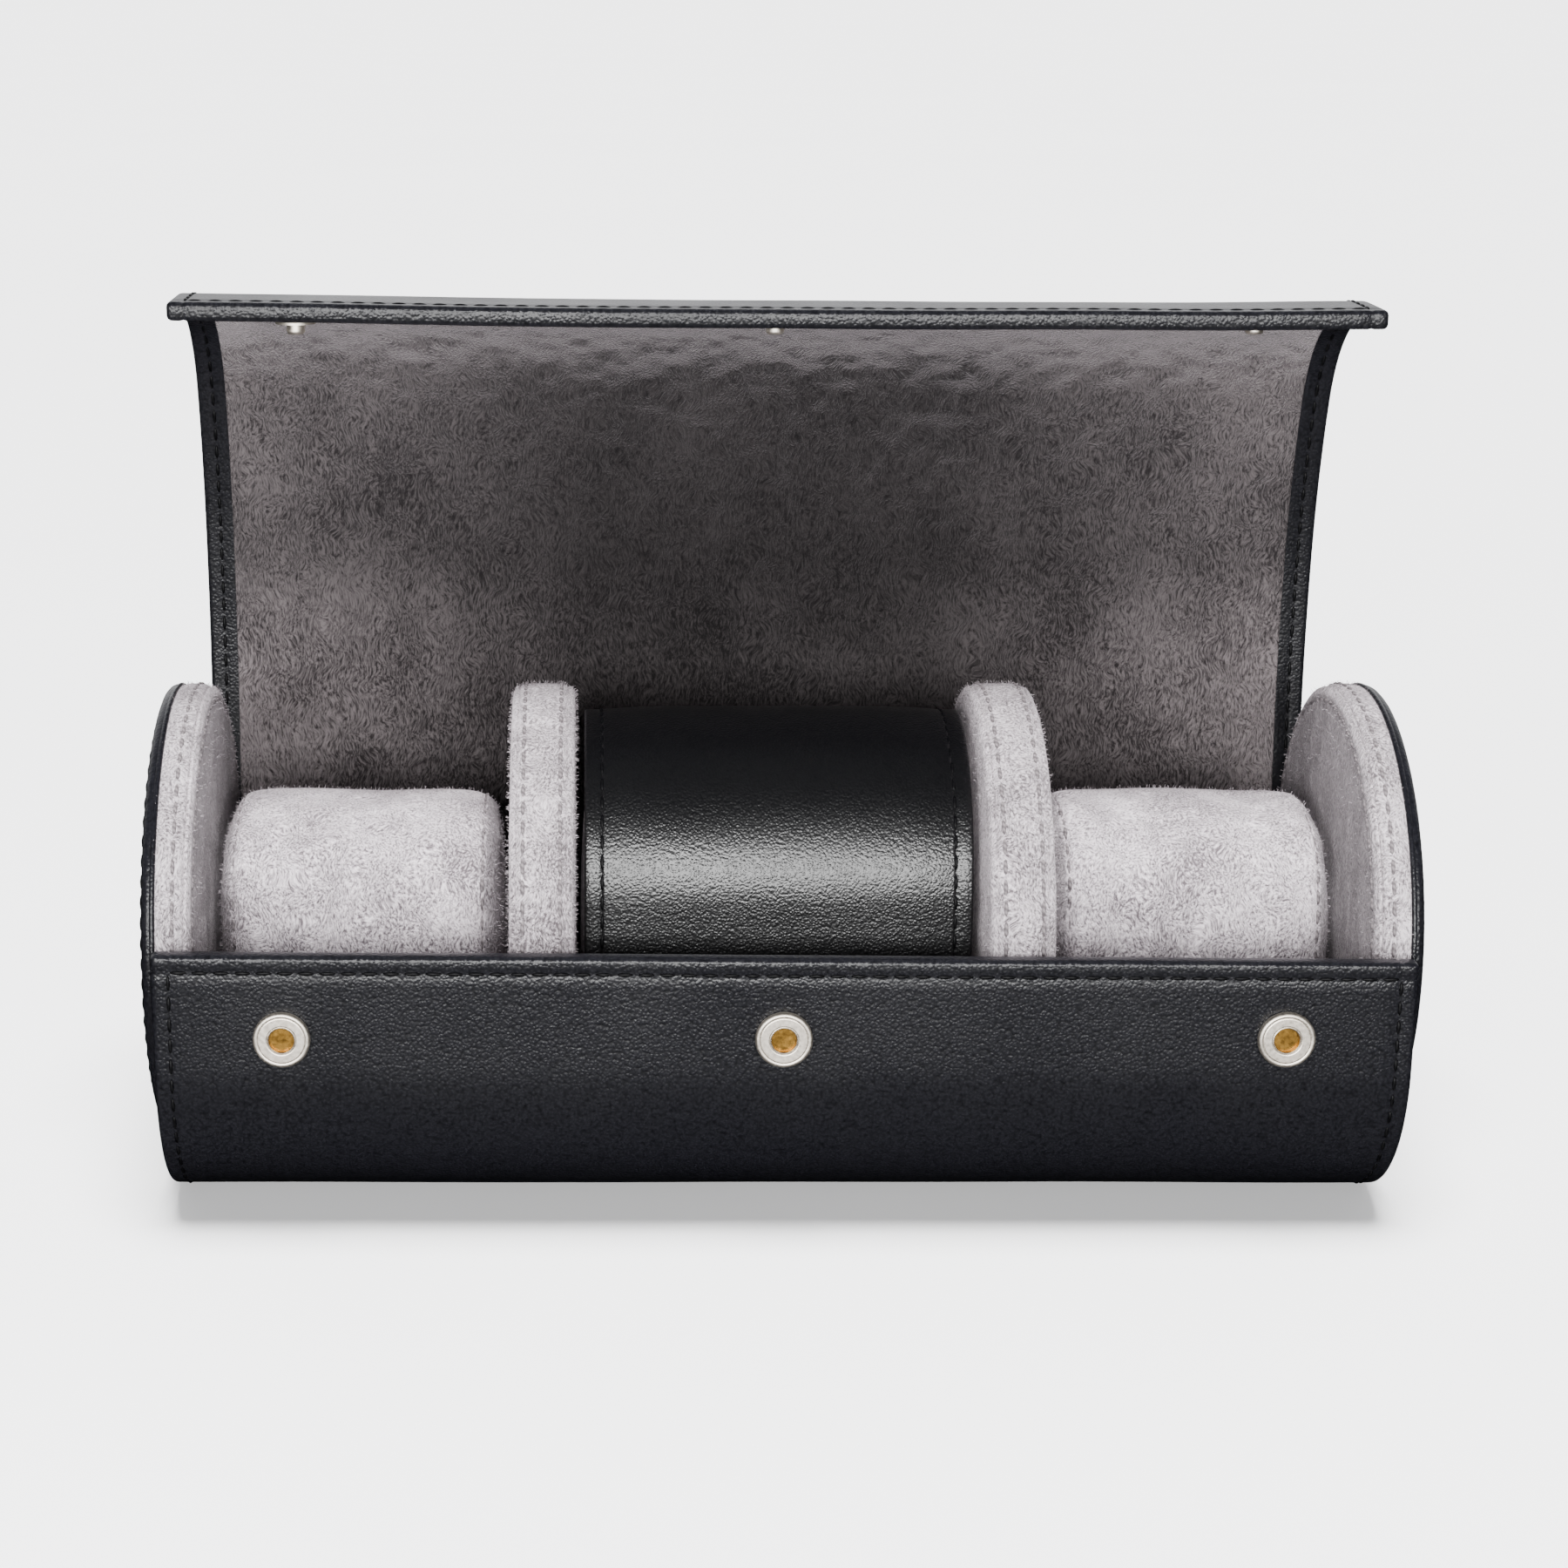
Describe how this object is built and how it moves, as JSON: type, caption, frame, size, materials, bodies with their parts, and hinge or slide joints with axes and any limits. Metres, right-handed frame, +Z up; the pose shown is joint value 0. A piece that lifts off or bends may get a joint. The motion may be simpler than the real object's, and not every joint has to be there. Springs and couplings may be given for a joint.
{
  "type": "watch roll case",
  "caption": "Open leather roll case for watches and jewellery: round ends and dividers, lift-out suede pillows, snap flap and a lid that folds over the top.",
  "frame": {"origin": "middle of the flat bottom, under the axis of the round ends", "axes": "+X along the case to its right end, +Y to its back, +Z up"},
  "size_m": [0.24, 0.1102, 0.1688],
  "materials": {
    "black_leather": "fine grained, satin",
    "grey_suede": "napped, matte",
    "stiffening_board": "plain grey board",
    "pillow_filling": "soft wadding",
    "nickel": "polished nickel",
    "brass": "bright brass"
  },
  "bodies": {
    "case": {"case_leather": "black_leather", "case_board": "stiffening_board", "case_lining": "grey_suede", "hinge_spine": "grey_suede", "left_cap_leather": "black_leather", "left_cap_board": "stiffening_board", "left_cap_gusset": "grey_suede", "left_cap_pad": "grey_suede", "right_cap_leather": "black_leather", "right_cap_board": "stiffening_board", "right_cap_gusset": "grey_suede", "right_cap_pad": "grey_suede", "left_divider_core": "stiffening_board", "left_divider_cover": "grey_suede", "right_divider_core": "stiffening_board", "right_divider_cover": "grey_suede"},
    "front_flap": {"flap_leather": "black_leather", "flap_board": "stiffening_board", "flap_lining": "grey_suede", "snap_sockets": "nickel", "socket_springs": "brass", "socket_rivets": "brass"},
    "lid_lower": {"lid_lower_leather": "black_leather", "lid_lower_board": "stiffening_board", "lid_lower_lining": "grey_suede"},
    "lid_middle": {"lid_middle_leather": "black_leather", "lid_middle_board": "stiffening_board", "lid_middle_lining": "grey_suede"},
    "lid_upper": {"lid_upper_leather": "black_leather", "lid_upper_board": "stiffening_board", "lid_upper_lining": "grey_suede"},
    "lid_front": {"lid_front_leather": "black_leather", "lid_front_board": "stiffening_board", "lid_front_lining": "grey_suede", "snap_studs": "nickel", "stud_rivets": "brass"},
    "left_pillow": {"left_pillow_cover": "grey_suede", "left_pillow_filling": "pillow_filling"},
    "centre_pillow": {"centre_sleeve_leather": "black_leather", "centre_sleeve_lining": "grey_suede", "centre_pillow_cover": "grey_suede", "centre_pillow_filling": "pillow_filling"},
    "right_pillow": {"right_pillow_cover": "grey_suede", "right_pillow_filling": "pillow_filling"}
  },
  "joints": [
    {"name": "lid_hinge", "type": "hinge", "parent": "case", "child": "lid_lower", "pos_m": [0, 0.0204, 0.0486], "axis": [-1, 0, 0], "range_deg": [-41.8, 0]},
    {"name": "lid_fold_lower", "type": "hinge", "parent": "lid_lower", "child": "lid_middle", "pos_m": [0, 0.05318, 0.07931], "axis": [-1, 0, 0], "range_deg": [-42.82, 0]},
    {"name": "lid_fold_middle", "type": "hinge", "parent": "lid_middle", "child": "lid_upper", "pos_m": [0, 0.05193, 0.11526], "axis": [-1, 0, 0], "range_deg": [-22.7, 0]},
    {"name": "lid_fold_front", "type": "hinge", "parent": "lid_upper", "child": "lid_front", "pos_m": [0, 0.03049, 0.16592], "axis": [-1, 0, 0], "range_deg": [0, 21.52]},
    {"name": "flap_hinge", "type": "hinge", "parent": "case", "child": "front_flap", "pos_m": [0, -0.04113, 0.00987], "axis": [1, 0, 0], "range_deg": [0, 35], "stiffness_Nm_per_rad": 0.15, "springref_deg": -8.59},
    {"name": "left_pillow_lift", "type": "slide", "parent": "case", "child": "left_pillow", "axis": [0, -0.3, 0.9539], "range_m": [0, 0.1]},
    {"name": "centre_pillow_lift", "type": "slide", "parent": "case", "child": "centre_pillow", "axis": [0, -0.3, 0.9539], "range_m": [0, 0.1]},
    {"name": "right_pillow_lift", "type": "slide", "parent": "case", "child": "right_pillow", "axis": [0, -0.3, 0.9539], "range_m": [0, 0.1]}
  ],
  "couplings": [
    {"joint": "lid_fold_lower", "follows": "lid_hinge", "ratio": 1.0244},
    {"joint": "lid_fold_middle", "follows": "lid_hinge", "ratio": 0.54306},
    {"joint": "lid_fold_front", "follows": "lid_hinge", "ratio": -0.51483}
  ]
}
